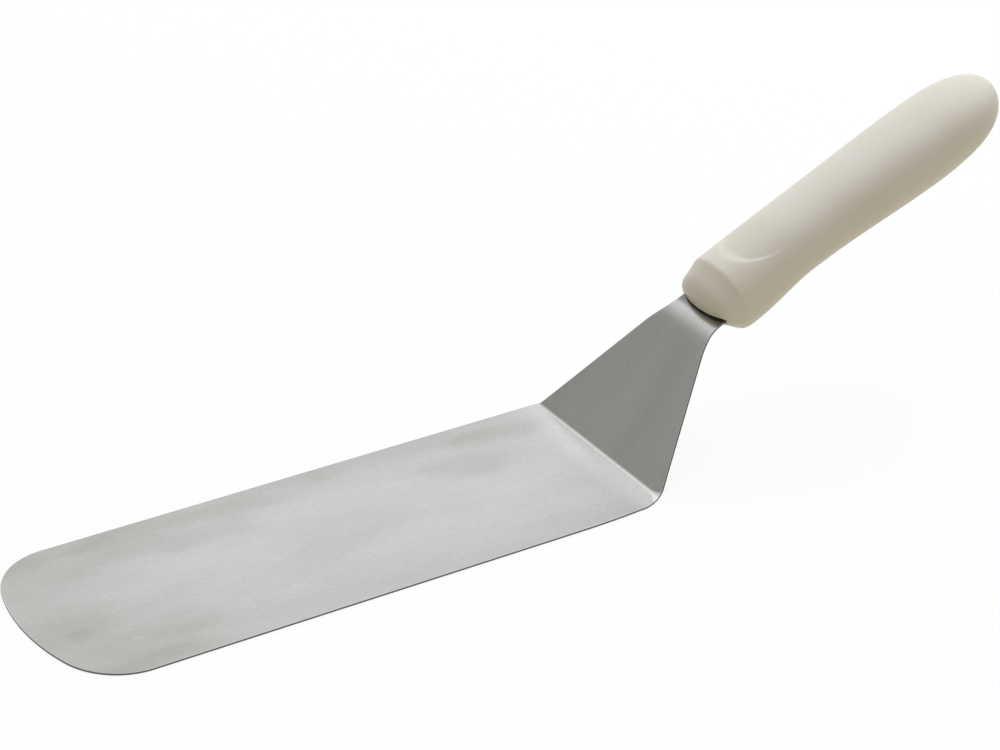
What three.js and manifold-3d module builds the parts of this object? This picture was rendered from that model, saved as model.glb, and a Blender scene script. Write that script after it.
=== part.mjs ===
// Flexible offset turner: one stamped and bent steel sheet, with a plastic grip moulded round its tang.
// Millimetres, +Z up. The origin is the middle of the blade's flat underside, and +X runs from the
// blade's tip towards the handle.
import * as THREE from 'three';
import { mergeVertices } from 'three/addons/utils/BufferGeometryUtils.js';
import Module from 'manifold-3d';

const wasm = await Module();
wasm.setup();

const DEGREE = Math.PI / 180;

// Steel sheet: the blade, the shank that stands up from it, the neck and the tang inside the handle.
const SHEET_THICKNESS = 0.7;
const BLADE_LENGTH = 209.5; // tip to crease
const BLADE_WIDTH = 73;
const TIP_ARC_RADIUS = 72; // the bowed end
const TIP_CORNER_RADIUS = 22;
const CREASE_ANGLE = 53.5 * DEGREE; // from the blade up to the shank
const CREASE_RADIUS = 1.9; // to the middle of the sheet
const SHANK_LENGTH = 49.45; // crease to the neck's bend, corner to corner
const SHANK_TAPER = 22.7 * DEGREE; // slant of each side edge
const SHOULDER_SETBACK = 6; // how far before the crease the side edges begin to slant
const SHOULDER_RADIUS = 10;
const NECK_RADIUS = 22; // bend from the shank to the neck, to the middle of the sheet
const NECK_LENGTH = 7.5; // corner of the neck's bend to the handle's lip
const NECK_WIDTH = 22.2;
const NECK_FILLET = 19;
const TANG_WIDTH = 15;
const TANG_LENGTH = 86; // inside the handle
const TANG_SHOULDER_DEPTH = 9; // how far the neck's full width runs into the handle
const TANG_SHOULDER_LENGTH = 7; // over which it narrows to the tang
const LOCK_HOLE_RADIUS = 3;
const LOCK_HOLES_AT = [36, 66]; // from the handle's lip

// Handle: distances run back from its lip, heights are measured from the middle of the tang.
const HANDLE_ANGLE = 24.5 * DEGREE; // from the blade up to the neck, the tang and the handle
const HANDLE_LENGTH = 128.5;
const SECTION_POWER = 2.25; // 2 is an ellipse, more is squarer
const GUARD_AT = 12.2;
const GUARD_HALF_WIDTH = 14.2;
const GUARD_TOP = 13.4;
const GUARD_DEPTH = 12.2;
const GUARD_FRONT_LENGTH = 9.3; // the slant from the lip down to the guard
const GUARD_CORNER_POWER = 6; // how tightly the slant turns into the guard's underside
const WAIST_AT = 40.2;
const WAIST_HALF_WIDTH = 13.7;
const WAIST_TOP = 13.9;
const WAIST_DEPTH = 9.05;
const BELLY_AT = 99.9;
const BELLY_HALF_WIDTH = 15.15;
const BELLY_DEPTH = 11.45;
const BUTT_POWER = 2.34;
const BUTT_APEX = 5.1; // height of the rearmost point
const BUTT_TOP_LENGTH = 48.7; // over which the top line turns down to the apex
const BUTT_UNDER_LENGTH = 39.8;
const BUTT_SIDE_LENGTH = 24;
const NOSE_BEVEL_LENGTH = 10.2;
const NOSE_BEVEL_POWER = 1.35; // above 1 the bevel is hollow
const NOSE_HALF_WIDTH = 13;
const NOSE_TOP = 8.8;
const NOSE_BOW_RADIUS = 31; // of the lip, seen from above
const NOSE_TOP_RADIUS = 5; // rounding of the front face's upper edge
const NOSE_SIDE_RADIUS = 0.6;
const LIP_DEPTH = 1.3; // plastic below the middle of the tang
const LIP_POWER = 5; // the lip's underside is almost flat across
const THUMB_REST_AT = 33.2;
const THUMB_REST_LENGTH = 17.3; // half of its oval
const THUMB_REST_HALF_WIDTH = 11.2;
const THUMB_REST_DEPTH = 0.8;
const THUMB_REST_FADE = 24; // from its front edge to where it is level with the grip again
const SLOT_WIDTH = 23.6;
const SLOT_TOP = 1.6;
const SLOT_DEPTH = 7;
const MOULD_GAP = 0.3; // between the steel and the plastic moulded round it

// How finely the curves are divided.
const TIP_ROWS = 28;
const BEND_ROWS = 6;
const BUTT_ROWS = 16;
const NOSE_STEP = 1.8;
const GRIP_STEP = 4;
const HANDLE_SIDES = 48;
const CIRCLE_SIDES = 32;

const steel = new THREE.MeshStandardMaterial({ color: 0xc4c4c1, roughness: 0.38, metalness: 1 });
const ivoryPlastic = new THREE.MeshStandardMaterial({ color: 0xdcd6c6, roughness: 0.5, metalness: 0 });

const clamp01 = (value) => THREE.MathUtils.clamp(value, 0, 1);
const easeInOut = (t) => (1 - Math.cos(Math.PI * clamp01(t))) / 2;
const steps = (from, to, count) =>
  Array.from({ length: count }, (_, i) => from + ((to - from) * i) / count);
const strides = (from, to, stride) => steps(from, to, Math.max(Math.ceil((to - from) / stride), 1));
// Shares of a rounded end's length, from its apex, that cut its curve into equal turns.
const quarterTurns = (count) =>
  steps(0, 1, count).map((t) => 1 - Math.cos(((t + 0.5 / count) * Math.PI) / 2));

// A closed solid skinned over rings of points, with a fan of triangles across each end.
function loft(rings) {
  const sides = rings[0].length;
  const points = rings.flat();
  const faces = [];
  for (let i = 0; i < rings.length - 1; i += 1) {
    for (let j = 0; j < sides; j += 1) {
      const next = (j + 1) % sides;
      const [a, b] = [i * sides + j, i * sides + next];
      const [c, d] = [b + sides, a + sides];
      faces.push(a, b, c, a, c, d);
    }
  }
  for (const [ring, flip] of [[0, true], [rings.length - 1, false]]) {
    const centre = points.length;
    const sum = rings[ring].reduce((total, point) => total.add(point), new THREE.Vector3());
    points.push(sum.divideScalar(sides));
    for (let j = 0; j < sides; j += 1) {
      const edge = [ring * sides + j, ring * sides + ((j + 1) % sides)];
      faces.push(centre, ...(flip ? edge.reverse() : edge));
    }
  }
  const geometry = new THREE.BufferGeometry().setFromPoints(points);
  geometry.setIndex(faces);
  return geometry;
}

function toSolid(geometry) {
  const bare = geometry.clone();
  bare.deleteAttribute('normal');
  bare.deleteAttribute('uv');
  const merged = mergeVertices(bare);
  return new wasm.Manifold(
    new wasm.Mesh({
      numProp: 3,
      vertProperties: new Float32Array(merged.attributes.position.array),
      triVerts: new Uint32Array(merged.index.array),
    }),
  );
}

function toGeometry(solid) {
  const mesh = solid.getMesh();
  const geometry = new THREE.BufferGeometry();
  geometry.setAttribute('position', new THREE.BufferAttribute(mesh.vertProperties, 3));
  geometry.setIndex(new THREE.BufferAttribute(mesh.triVerts, 1));
  geometry.computeVertexNormals();
  return geometry;
}

// The sheet's side view, as runs of the middle of the sheet from the tip: how long, and how far it turns.
const neckTurn = CREASE_ANGLE - HANDLE_ANGLE;
const creaseReach = CREASE_RADIUS * Math.tan(CREASE_ANGLE / 2); // from a bend's corner to where it begins
const neckReach = NECK_RADIUS * Math.tan(neckTurn / 2);
const runs = [
  { length: BLADE_LENGTH - creaseReach, turn: 0 },
  { length: CREASE_RADIUS * CREASE_ANGLE, turn: CREASE_ANGLE },
  { length: SHANK_LENGTH - creaseReach - neckReach, turn: 0 },
  { length: NECK_RADIUS * neckTurn, turn: -neckTurn },
  { length: Infinity, turn: 0 },
];
const [bladeRun, creaseRun, shankRun, neckRun] = runs.map((run) => run.length);
const creaseStart = bladeRun;
const creaseEnd = creaseStart + creaseRun;
const neckStart = creaseEnd + shankRun;
const neckEnd = neckStart + neckRun;
const lipAlong = neckEnd + NECK_LENGTH - neckReach;
const tangEnd = lipAlong + TANG_LENGTH;

// Place and slope of the sheet's middle at a distance along it from the tip.
function spineAt(along) {
  const place = new THREE.Vector3(-BLADE_LENGTH / 2, 0, SHEET_THICKNESS / 2);
  let slope = 0;
  let left = along;
  for (const { length, turn } of runs) {
    const part = Math.min(left, length);
    const turned = (turn * part) / length;
    const chord = turned === 0 ? part : (2 * Math.sin(turned / 2) * length) / turn;
    const heading = slope + turned / 2;
    place.add(new THREE.Vector3(chord * Math.cos(heading), 0, chord * Math.sin(heading)));
    slope += turned;
    left -= part;
    if (left <= 0) break;
  }
  return { place, slope };
}

// The blank's outline: half its width at a distance along the sheet from the tip.
const sideHalf = BLADE_WIDTH / 2;
const neckHalf = NECK_WIDTH / 2;
const tangHalf = TANG_WIDTH / 2;
const cornerOffset = sideHalf - TIP_CORNER_RADIUS;
const arcGap = TIP_ARC_RADIUS - TIP_CORNER_RADIUS;
const cornerAt = TIP_ARC_RADIUS - Math.sqrt(arcGap ** 2 - cornerOffset ** 2);
const arcEndAt = TIP_ARC_RADIUS - ((TIP_ARC_RADIUS - cornerAt) * TIP_ARC_RADIUS) / arcGap;
const taperSlope = Math.tan(SHANK_TAPER);
const taperAt = BLADE_LENGTH - SHOULDER_SETBACK;
const shoulderReach = SHOULDER_RADIUS * Math.tan(SHANK_TAPER / 2);
const shoulderStart = taperAt - shoulderReach;
const shoulderEnd = taperAt + shoulderReach * Math.cos(SHANK_TAPER);
const taperEnd = taperAt + (sideHalf - neckHalf) / taperSlope;
const filletReach = NECK_FILLET * Math.tan(SHANK_TAPER / 2);
const filletStart = taperEnd - filletReach * Math.cos(SHANK_TAPER);
const filletEnd = taperEnd + filletReach;
const tangShoulderStart = lipAlong + TANG_SHOULDER_DEPTH;
const tangShoulderEnd = tangShoulderStart + TANG_SHOULDER_LENGTH;
const tangRoundStart = tangEnd - tangHalf;
const arcHeight = (radius, offset) => Math.sqrt(Math.max(radius ** 2 - offset ** 2, 0));

function halfWidthAt(along) {
  if (along < arcEndAt) return arcHeight(TIP_ARC_RADIUS, TIP_ARC_RADIUS - along);
  if (along < cornerAt) return cornerOffset + arcHeight(TIP_CORNER_RADIUS, cornerAt - along);
  if (along < shoulderStart) return sideHalf;
  if (along < shoulderEnd) {
    return sideHalf - SHOULDER_RADIUS + arcHeight(SHOULDER_RADIUS, along - shoulderStart);
  }
  if (along < filletStart) return sideHalf - (along - taperAt) * taperSlope;
  if (along < filletEnd) return neckHalf + NECK_FILLET - arcHeight(NECK_FILLET, filletEnd - along);
  if (along > tangRoundStart) return arcHeight(tangHalf, along - tangRoundStart);
  const narrowing = easeInOut((along - tangShoulderStart) / TANG_SHOULDER_LENGTH);
  return THREE.MathUtils.lerp(neckHalf, tangHalf, narrowing);
}

// Where the sheet is cut into rows, close together where its outline or its side view curves.
const sheetRows = [
  ...quarterTurns(TIP_ROWS).map((share) => share * cornerAt),
  ...steps(cornerAt, shoulderStart, BEND_ROWS),
  ...steps(shoulderStart, creaseStart, BEND_ROWS),
  ...steps(creaseStart, creaseEnd, BEND_ROWS),
  ...steps(creaseEnd, neckStart, BEND_ROWS),
  ...steps(neckStart, neckEnd, BEND_ROWS),
  ...steps(neckEnd, tangShoulderStart, BEND_ROWS),
  ...steps(tangShoulderStart, tangShoulderEnd, BEND_ROWS),
  tangShoulderEnd,
  ...quarterTurns(TIP_ROWS).map((share) => tangEnd - share * tangHalf).reverse(),
];

// One row across the sheet: its four corners, grown by a margin at the sides, faces and the tang's end.
function sheetRow(along, margin = 0) {
  const endShare = Math.max(along - tangRoundStart, 0) / tangHalf;
  const { place, slope } = spineAt(along + endShare * margin);
  const rise = new THREE.Vector3(-Math.sin(slope), 0, Math.cos(slope));
  rise.multiplyScalar(SHEET_THICKNESS / 2 + margin);
  const across = new THREE.Vector3(0, halfWidthAt(along) + margin, 0);
  return [[1, -1], [1, 1], [-1, 1], [-1, -1]].map(([side, face]) =>
    place.clone().addScaledVector(across, side).addScaledVector(rise, face),
  );
}

// The handle's own frame: origin at its lip on the middle of the tang, +X back along the tang.
const lip = spineAt(lipAlong);
const handleFrame = new THREE.Matrix4().makeRotationY(-lip.slope).setPosition(lip.place);
const toHandleFrame = handleFrame.clone().invert();

// An upright round post at a distance behind the lip, in the handle's frame.
function lockPost(at, radius) {
  const height = GUARD_TOP + GUARD_DEPTH;
  const post = new THREE.CylinderGeometry(radius, radius, height, CIRCLE_SIDES);
  return toSolid(post.rotateX(Math.PI / 2).translate(at, 0, 0));
}

function makeBlade() {
  let sheet = toSolid(loft(sheetRows.map((along) => sheetRow(along))));
  for (const at of LOCK_HOLES_AT) {
    sheet = sheet.subtract(lockPost(at, LOCK_HOLE_RADIUS).transform(handleFrame.elements));
  }
  const blade = new THREE.Mesh(toGeometry(sheet), steel);
  blade.name = 'blade';
  return blade;
}

// A line through stations of [distance, value] that is level at each of them.
function throughStations(at, stations) {
  const last = stations.length - 1;
  const next = stations.findIndex(([distance]) => at < distance);
  if (next === 0) return stations[0][1];
  if (next < 0) return stations[last][1];
  const [[from, start], [to, end]] = [stations[next - 1], stations[next]];
  return THREE.MathUtils.lerp(start, end, easeInOut((at - from) / (to - from)));
}

// How much of the full section is left near the butt, as a rounded end of a given length.
function buttShare(at, length) {
  const into = clamp01((at - (HANDLE_LENGTH - length)) / length);
  return (1 - into ** BUTT_POWER) ** (1 / BUTT_POWER);
}

// Half width, top, bottom and middle height of the grip at a distance behind the lip, and how square
// its lower half is. In front of the guard the full section is drawn in to the nose and its lip.
function gripSection(at) {
  const widths = [[GUARD_AT, GUARD_HALF_WIDTH], [WAIST_AT, WAIST_HALF_WIDTH], [BELLY_AT, BELLY_HALF_WIDTH]];
  const tops = [[GUARD_AT, GUARD_TOP], [WAIST_AT, WAIST_TOP]];
  const depths = [[GUARD_AT, GUARD_DEPTH], [WAIST_AT, WAIST_DEPTH], [BELLY_AT, BELLY_DEPTH]];
  const half = throughStations(at, widths) * buttShare(at, BUTT_SIDE_LENGTH);
  const rise = (throughStations(at, tops) - BUTT_APEX) * buttShare(at, BUTT_TOP_LENGTH);
  const fall = (throughStations(at, depths) + BUTT_APEX) * buttShare(at, BUTT_UNDER_LENGTH);
  const [top, bottom] = [BUTT_APEX + rise, BUTT_APEX - fall];
  const bevel = clamp01(at / NOSE_BEVEL_LENGTH);
  const slant = at / GUARD_FRONT_LENGTH;
  const guard = slant / (1 + slant ** GUARD_CORNER_POWER) ** (1 / GUARD_CORNER_POWER);
  const inset = (radius) => radius - arcHeight(radius, Math.max(radius - at, 0));
  return {
    half: THREE.MathUtils.lerp(NOSE_HALF_WIDTH, half, bevel) - inset(NOSE_SIDE_RADIUS),
    top: THREE.MathUtils.lerp(NOSE_TOP, top, bevel ** NOSE_BEVEL_POWER) - inset(NOSE_TOP_RADIUS),
    bottom: THREE.MathUtils.lerp(-LIP_DEPTH, bottom, guard),
    middle: (top + bottom) / 2,
    lowerPower: THREE.MathUtils.lerp(LIP_POWER, SECTION_POWER, guard),
  };
}

// A ring round the grip, or a smaller one inside it. In the nose it follows the lip's bow.
function gripRing(at, share = 1) {
  const { half, top, bottom, middle, lowerPower } = gripSection(at);
  const bowShare = 1 - clamp01(at / NOSE_BEVEL_LENGTH);
  return Array.from({ length: HANDLE_SIDES }, (_, j) => {
    const turn = (2 * Math.PI * (j + 0.5)) / HANDLE_SIDES;
    const [cos, sin] = [Math.cos(turn), Math.sin(turn)];
    const power = sin > 0 ? SECTION_POWER : lowerPower;
    const across = Math.sign(cos) * share * half * Math.abs(cos) ** (2 / power);
    const reach = sin > 0 ? top - middle : bottom - middle;
    const height = middle + share * reach * Math.abs(sin) ** (2 / power);
    const bow = (NOSE_BOW_RADIUS - arcHeight(NOSE_BOW_RADIUS, across)) * bowShare;
    return new THREE.Vector3(at + bow, across, height);
  });
}

// The thumb rest: an oval hollow whose floor is the grip's own top, tipped down towards the front.
function thumbRest(body) {
  const pivot = new THREE.Vector3(THUMB_REST_AT - THUMB_REST_LENGTH + THUMB_REST_FADE, 0, WAIST_TOP);
  const tip = new THREE.Matrix4().makeRotationY(-THUMB_REST_DEPTH / THUMB_REST_FADE);
  tip.setPosition(pivot.clone().sub(pivot.clone().applyMatrix4(tip)));
  const oval = new THREE.CylinderGeometry(1, 1, GUARD_TOP, HANDLE_SIDES);
  oval.rotateX(Math.PI / 2).scale(THUMB_REST_LENGTH, THUMB_REST_HALF_WIDTH, 1);
  return toSolid(oval.translate(THUMB_REST_AT, 0, GUARD_TOP)).subtract(body.transform(tip.elements));
}

// The tang's pocket: the tang and its neck grown by the mould gap, with the lock posts left standing.
function tangPocket() {
  const rows = sheetRows.filter((along) => along >= neckEnd);
  let pocket = toSolid(loft(rows.map((along) => sheetRow(along, MOULD_GAP))));
  pocket = pocket.transform(toHandleFrame.elements);
  for (const at of LOCK_HOLES_AT) {
    pocket = pocket.subtract(lockPost(at, LOCK_HOLE_RADIUS - MOULD_GAP));
  }
  return pocket;
}

// The relief slot above the steel at the lip, with round ends.
function reliefSlot() {
  const base = -SHEET_THICKNESS / 2 - MOULD_GAP;
  const endRadius = (SLOT_TOP - base) / 2;
  const endAt = SLOT_WIDTH / 2 - endRadius;
  const outline = new THREE.Shape();
  outline.absarc(endAt, base + endRadius, endRadius, -Math.PI / 2, Math.PI / 2);
  outline.absarc(-endAt, base + endRadius, endRadius, Math.PI / 2, (3 * Math.PI) / 2);
  const slot = new THREE.ExtrudeGeometry(outline, {
    depth: 2 * SLOT_DEPTH,
    bevelEnabled: false,
    curveSegments: CIRCLE_SIDES / 4,
  });
  const stand = new THREE.Matrix4().makeBasis(
    new THREE.Vector3(0, 1, 0),
    new THREE.Vector3(0, 0, 1),
    new THREE.Vector3(1, 0, 0),
  );
  return toSolid(slot.applyMatrix4(stand).translate(-SLOT_DEPTH, 0, 0));
}

function makeHandle() {
  const buttStart = HANDLE_LENGTH - BUTT_TOP_LENGTH;
  const stations = [
    ...steps(0, 1, BEND_ROWS).map((t) => NOSE_TOP_RADIUS * (1 - Math.cos((t * Math.PI) / 2))),
    ...strides(NOSE_TOP_RADIUS, NOSE_BEVEL_LENGTH, NOSE_STEP),
    ...strides(NOSE_BEVEL_LENGTH, WAIST_AT, GRIP_STEP),
    ...strides(WAIST_AT, buttStart, GRIP_STEP),
    ...quarterTurns(BUTT_ROWS).map((share) => HANDLE_LENGTH - share * BUTT_TOP_LENGTH).reverse(),
  ];
  const frontFace = steps(0, 1, BEND_ROWS).slice(1);
  const rings = [...frontFace.map((share) => gripRing(0, share)), ...stations.map((at) => gripRing(at))];
  const body = toSolid(loft(rings));
  const grip = body.subtract(thumbRest(body)).subtract(tangPocket()).subtract(reliefSlot());
  const handle = new THREE.Mesh(toGeometry(grip), ivoryPlastic);
  handle.name = 'handle';
  handle.applyMatrix4(handleFrame);
  return handle;
}

const turner = new THREE.Group();
turner.add(makeBlade(), makeHandle());

export default turner;
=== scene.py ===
import functools
import math
import operator

import bmesh
import bpy
import numpy as np
from mathutils import Matrix, Vector


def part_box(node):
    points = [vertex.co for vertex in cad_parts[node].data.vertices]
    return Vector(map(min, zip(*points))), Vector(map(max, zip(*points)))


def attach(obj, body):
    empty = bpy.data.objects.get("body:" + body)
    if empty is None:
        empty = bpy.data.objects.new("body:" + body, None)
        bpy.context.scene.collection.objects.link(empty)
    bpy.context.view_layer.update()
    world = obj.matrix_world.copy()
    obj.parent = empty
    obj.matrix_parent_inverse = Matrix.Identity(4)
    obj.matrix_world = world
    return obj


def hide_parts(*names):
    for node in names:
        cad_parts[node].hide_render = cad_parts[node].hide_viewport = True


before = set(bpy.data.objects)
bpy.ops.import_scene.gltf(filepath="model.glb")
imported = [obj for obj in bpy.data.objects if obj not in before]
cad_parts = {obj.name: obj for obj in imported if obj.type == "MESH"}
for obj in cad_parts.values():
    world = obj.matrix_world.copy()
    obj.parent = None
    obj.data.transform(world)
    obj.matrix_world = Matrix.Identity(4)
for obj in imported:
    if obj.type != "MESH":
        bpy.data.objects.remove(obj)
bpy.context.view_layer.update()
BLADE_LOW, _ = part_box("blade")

bl_info = {
    "name": "Flexible turner",
    "version": (1, 0, 0),
    "blender": (4, 5, 0),
    "location": "3D View > Sidebar > Turner",
    "description": "Makes an offset kitchen turner: a bent steel blade in a moulded plastic handle",
    "category": "Object",
}

MM = 0.001


# Properties


def length(name, description, millimetres):
    return bpy.props.FloatProperty(
        name=name, description=description, default=millimetres * MM, unit="LENGTH", precision=5
    )


def angle(name, description, degrees):
    return bpy.props.FloatProperty(
        name=name, description=description, default=math.radians(degrees), subtype="ANGLE"
    )


def number(name, description, default):
    return bpy.props.FloatProperty(name=name, description=description, default=default, precision=3)


def share(name, description, default):
    return bpy.props.FloatProperty(
        name=name, description=description, default=default, min=0.0, max=1.0, subtype="FACTOR"
    )


def colour(name, description, default):
    return bpy.props.FloatVectorProperty(
        name=name, description=description, default=default, size=3, min=0.0, max=1.0, subtype="COLOR"
    )


def place(name, description, metres):
    return bpy.props.FloatVectorProperty(
        name=name, description=description, default=metres, size=3, subtype="TRANSLATION", unit="LENGTH"
    )


class TURNER_PG_sheet(bpy.types.PropertyGroup):
    """Sizes of the steel sheet that is blade, shank, neck and tang in one piece"""

    thickness: length("Thickness", "Thickness of the sheet", 0.7)
    # The material paints a highlight along this rounding.
    edge_radius: length("Edge radius", "Burnished rounding of the upper edges", 0.12)
    burr_radius: length("Burr radius", "Rounding of the lower edges", 0.04)
    blade_length: length("Blade length", "From the tip to the crease", -2 * BLADE_LOW[0] / MM)
    blade_width: length("Blade width", "Across the parallel sides", 73)
    tip_arc_radius: length("Tip arc", "Radius of the bowed end", 72)
    tip_corner_radius: length("Tip corners", "Radius of the rounded corners beside the tip", 22)
    crease_angle: angle("Crease", "From the blade up to the shank", 53.5)
    crease_radius: length("Crease radius", "To the middle of the sheet", 2.4)
    crease_flare_width: length("Crease flare width", "How far in from each side it opens out", 5)
    shank_length: length("Shank length", "From the crease to the neck's bend", 49.45)
    near_setback: length("Near setback", "How far before the crease the near side slants in", 6.7)
    near_taper: angle("Near taper", "Slant of the shank's near side", 21.9)
    near_radius: length("Near shoulder", "Rounding of the near corner beside the crease", 12)
    near_flare: length("Near flare", "Radius of the crease at its near end, where it opens out", 7.5)
    near_toe: length("Near toe", "How far the near side bows in before its shoulder", 0.95)
    near_toe_length: length("Near toe length", "Length over which it bows in", 24)
    far_setback: length("Far setback", "How far before the crease the far side slants in", 1.3)
    far_taper: angle("Far taper", "Slant of the shank's far side", 25.45)
    far_radius: length("Far shoulder", "Rounding of the far corner beside the crease", 5)
    far_flare: length("Far flare", "Radius of the crease at its far end", 2.7)
    neck_radius: length("Neck bend", "Bend radius to the middle of the sheet", 22)
    neck_length: length("Neck length", "From the neck's bend to the handle's lip", 7.5)
    neck_width: length("Neck width", "Width where the sheet enters the handle", 22.2)
    neck_fillet: length("Neck fillet", "Radius between the shank's sides and the neck", 19)
    tang_width: length("Tang width", "Width inside the handle", 15)
    tang_length: length("Tang length", "Length inside the handle", 86)
    tang_shoulder_depth: length("Tang shoulder", "Depth at which the neck narrows", 9)
    tang_shoulder_length: length("Tang shoulder run", "Length over which it narrows", 7)
    handle_angle: angle("Handle angle", "From the blade up to the tang and the handle", 24.5)


class TURNER_PG_grip(bpy.types.PropertyGroup):
    """Sizes of the moulded handle: distances run back from its lip, heights from the middle of the tang"""

    length: length("Length", "From the lip to the butt", 128.4)
    section_power: number("Section squareness", "2 is an ellipse, more is squarer", 2.25)
    guard_at: length("Guard place", "Distance of the finger guard behind the lip", 12.2)
    guard_half_width: length("Guard half width", "Half the width at the guard", 14.2)
    guard_top: length("Guard top", "Height of the top line over the guard", 13.4)
    guard_depth: length("Guard depth", "Depth of the guard below the tang", 12.2)
    guard_front: length("Guard front", "Length of the slant from the lip down to the guard", 9.3)
    guard_corner: number("Guard corner", "How tightly the slant turns into the guard", 6)
    waist_at: length("Waist place", "Distance of the waist behind the lip", 40.2)
    waist_half_width: length("Waist half width", "Half the width at the waist", 13.7)
    waist_top: length("Waist top", "Height of the top line at the waist", 13.87)
    waist_depth: length("Waist depth", "Depth of the waist below the tang", 9.05)
    belly_at: length("Belly place", "Distance of the belly behind the lip", 99.9)
    belly_half_width: length("Belly half width", "Half the width at the belly", 15.1)
    belly_depth: length("Belly depth", "Depth of the belly below the tang", 11.45)
    butt_power: number("Butt squareness", "2 is an ellipse, more is blunter", 2.34)
    butt_apex: length("Butt apex", "Height of the rearmost point", 5.1)
    butt_top_length: length("Butt top", "Length over which the top turns down to the apex", 48.7)
    butt_under_length: length("Butt underside", "Length over which the underside turns up", 39.8)
    butt_side_length: length("Butt sides", "Length over which the sides close in", 24)
    bevel_length: length("Bevel length", "Length of the scooped bevel on the nose", 10.2)
    bevel_power: number("Bevel hollow", "Above 1 the bevel is hollow", 1.35)
    bevel_edge: number("Bevel edge", "How crisp the bevel's rear edge is", 28)
    nose_half_width: length("Nose half width", "Half the width at the lip", 13)
    nose_top: length("Nose top", "Height of the nose at the lip", 8.8)
    nose_bow: length("Lip bow", "Radius of the lip seen from above", 31)
    nose_top_radius: length("Nose top radius", "Rounding at the top of the front face", 5)
    nose_side_radius: length("Nose side radius", "Rounding at the sides of the front face", 0.6)
    lip_depth: length("Lip depth", "Plastic below the middle of the tang", 1.3)
    lip_power: number("Lip squareness", "The lip's underside is almost flat across", 5)
    rest_at: length("Thumb rest place", "Distance of its middle behind the lip", 32.4)
    rest_length: length("Thumb rest length", "Half the length of its oval", 18.8)
    rest_half_width: length("Thumb rest half width", "Half the width of its oval", 11.25)
    rest_wall: length("Thumb rest wall", "Width of the slope at its rim", 1.3)
    rest_soft: number("Thumb rest front", "How much wider the slope is at the front", 1.6)
    rest_depth: length("Thumb rest depth", "Depth at its front", 0.8)
    rest_fade: length("Thumb rest fade", "Length over which it runs out level", 24)
    slot_half_width: length("Slot half width", "Half the width of the relief slot over the steel", 11.8)
    slot_top: length("Slot top", "Height of the slot's roof", 1.25)
    slot_depth: length("Slot depth", "How far it reaches into the handle", 7)
    slot_edge: length("Slot edge", "Rounding of the slot's mouth", 0.35)
    mould_gap: length("Mould gap", "Between the tang and the plastic round it", 0.1)


class TURNER_PG_finish(bpy.types.PropertyGroup):
    """Colours and finishes of the steel and the plastic"""

    steel_light: colour("Steel", "Clean brushed steel", (0.65, 0.65, 0.65))
    steel_dark: colour("Clouded steel", "Steel in the cloudier patches", (0.36, 0.357, 0.332))
    # Colour of the painted highlights on the rims and before the crease, and of the scratches.
    steel_bright: colour("Bright steel", "Burnished rims, crease and scratches", (0.86, 0.86, 0.855))
    # Colour of the painted shade on the sheared edges and on the steel by the lip.
    steel_shade: colour("Cut steel", "Sheared edge of the sheet", (0.13, 0.13, 0.127))
    steel_roughness: share("Steel roughness", "Roughness of the brushed faces", 0.2)
    # Over this length from the tip the blade is darker.
    tip_darkening: length("Tip wear", "How far from the tip the blade is dulled by use", 75)
    side_wear: length("Side wear", "How far in from the sides it is dulled", 18)
    # Width of the band of painted highlight before the crease.
    crease_highlight_width: length("Crease polish", "Width of the band that the bending tool burnished", 13)
    ivory: colour("Ivory", "Moulded handle", (0.735, 0.684, 0.585))
    ivory_pale: colour("Pale ivory", "Paler flow in the moulding", (0.76, 0.712, 0.63))
    ivory_roughness: share("Ivory roughness", "Roughness of the moulded skin", 0.42)


class TURNER_PG_stage(bpy.types.PropertyGroup):
    """Camera, floor and light"""

    azimuth: angle("Azimuth", "Turn of the camera round the turner", -35.02)
    elevation: angle("Elevation", "Height of the camera above the horizon", 29.49)
    roll: angle("Roll", "Tilt of the camera", 2.89)
    distance: length("Distance", "From the camera to its target", 1124)
    target: place("Target", "Point in the middle of the picture", (0.10458, 0.05978, -0.00014))
    lens: bpy.props.FloatProperty(
        name="Lens", description="Focal length", default=118.8, unit="CAMERA"
    )
    floor_size: length("Floor size", "Side of the square floor", 8000)
    floor_drop: length("Floor drop", "Gap between the floor and the blade", 0.2)
    key_power: bpy.props.FloatProperty(
        name="Key light", description="Power of the soft light overhead", default=30.9, unit="POWER"
    )
    key_colour: colour("Key colour", "Colour of the soft light overhead", (0.845, 0.892, 1.0))
    key_size: length("Key size", "Width of the soft light overhead", 2200)
    key_place: place("Key place", "Middle of the soft light overhead", (0.75, 0.6, 1.7))
    key_aim: place("Key aim", "Point that the soft light faces", (0.08, 0.0, 0.03))
    floor_colour: colour("Floor", "Warm white of the floor", (0.66, 0.60, 0.445))
    floor_white: colour("Floor white", "White as the camera and mirrors see it", (0.95, 0.95, 0.95))
    floor_glow: share("Floor glow", "How white the camera and mirrors see the floor", 0.9)
    room: colour("Room", "Darker room that the shank mirrors", (0.425, 0.43, 0.402))
    backdrop_core: number("Backdrop core", "Cosine of the angle within which the backdrop is white", 0.85)
    backdrop_edge: number("Backdrop edge", "Cosine of the angle at which the backdrop has faded out", 0.6)
    backdrop_fill: share("Backdrop fill", "How much the backdrop lights plain surfaces", 0.45)
    ceiling: bpy.props.FloatVectorProperty(
        name="Ceiling",
        description="Direction of the white ceiling",
        default=(0.5, -0.1, 0.86),
        size=3,
        subtype="DIRECTION",
    )
    ceiling_core: number("Ceiling core", "Cosine of the angle within which the ceiling is white", 0.92)
    ceiling_edge: number("Ceiling edge", "Cosine of the angle at which the ceiling has faded out", 0.76)


# Shader nodes


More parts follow.
